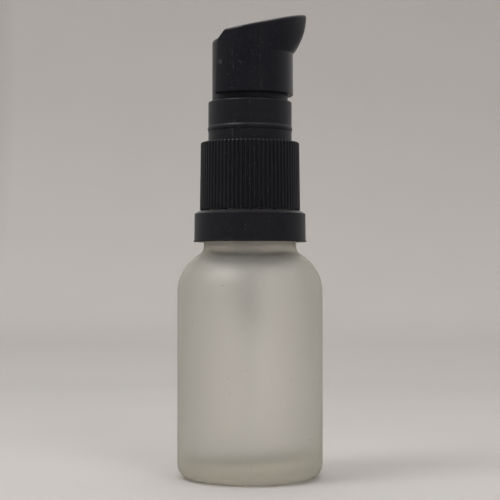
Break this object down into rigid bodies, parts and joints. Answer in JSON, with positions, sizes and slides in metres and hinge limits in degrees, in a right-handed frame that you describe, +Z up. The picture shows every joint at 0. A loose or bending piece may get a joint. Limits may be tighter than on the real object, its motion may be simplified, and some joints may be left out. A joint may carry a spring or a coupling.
{
  "type": "pump oil bottle",
  "caption": "Small round frosted glass bottle with a ribbed screw cap, a collar and a push-down pump head whose beak dispenses massage oil or serum.",
  "frame": {"origin": "centre of the foot ring, on the surface the bottle stands on", "axes": "+Z up along the bottle's axis, +X towards the tip of the pump head's beak at rest"},
  "size_m": [0.0286, 0.0286, 0.091],
  "materials": {
    "frosted_glass": "acid-frosted, matt outside",
    "black_plastic": "semi-gloss moulded polypropylene",
    "ribbed_plastic": "fine ribs, satin",
    "clear_plastic": "natural translucent polypropylene",
    "tube_plastic": "natural translucent polyethylene",
    "gasket": "soft foamed polyethylene",
    "piston": "soft white polyethylene",
    "steel": "drawn stainless wire and polished ball"
  },
  "bodies": {
    "bottle": {"bottle": "frosted_glass", "tamper_ring": "black_plastic", "tamper_bridges": "black_plastic"},
    "pump": {"pump_housing": "clear_plastic", "collar": "black_plastic", "neck_gasket": "gasket", "stem_guide": "clear_plastic", "dip_tube": "tube_plastic", "ball_cage": "clear_plastic", "main_spring": "steel"},
    "cap": {"screw_cap": "ribbed_plastic"},
    "plunger": {"stem": "clear_plastic", "piston_rod": "piston"},
    "piston": {"piston": "piston"},
    "head": {"spout_hood": "black_plastic", "actuator_core": "black_plastic", "nozzle_insert": "black_plastic"},
    "ball": {"inlet_ball": "steel"}
  },
  "joints": [
    {"name": "pump_lift", "type": "slide", "parent": "bottle", "child": "pump", "axis": [0, 0, 1], "range_m": [0, 0.0045]},
    {"name": "cap_turn", "type": "hinge", "parent": "pump", "child": "cap", "pos_m": [0, 0, 0.059], "axis": [0, 0, 1], "range_deg": [0, 540]},
    {"name": "head_press", "type": "slide", "parent": "pump", "child": "plunger", "axis": [0, 0, 1], "range_m": [0, 0.0045], "stiffness_N_per_m": 600, "springref_m": 0.008, "deforming": ["main_spring"]},
    {"name": "head_turn", "type": "hinge", "parent": "plunger", "child": "head", "pos_m": [0, 0, 0.081], "axis": [0, 0, 1], "range_deg": [0, 90]},
    {"name": "piston_slip", "type": "slide", "parent": "plunger", "child": "piston", "axis": [0, 0, -1], "range_m": [0, 0.0008]},
    {"name": "ball_lift", "type": "slide", "parent": "pump", "child": "ball", "axis": [0, 0, 1], "range_m": [0, 0.0012]}
  ],
  "couplings": [
    {"joint": "cap_turn", "follows": "pump_lift", "rad_per_m": 2094.4}
  ]
}
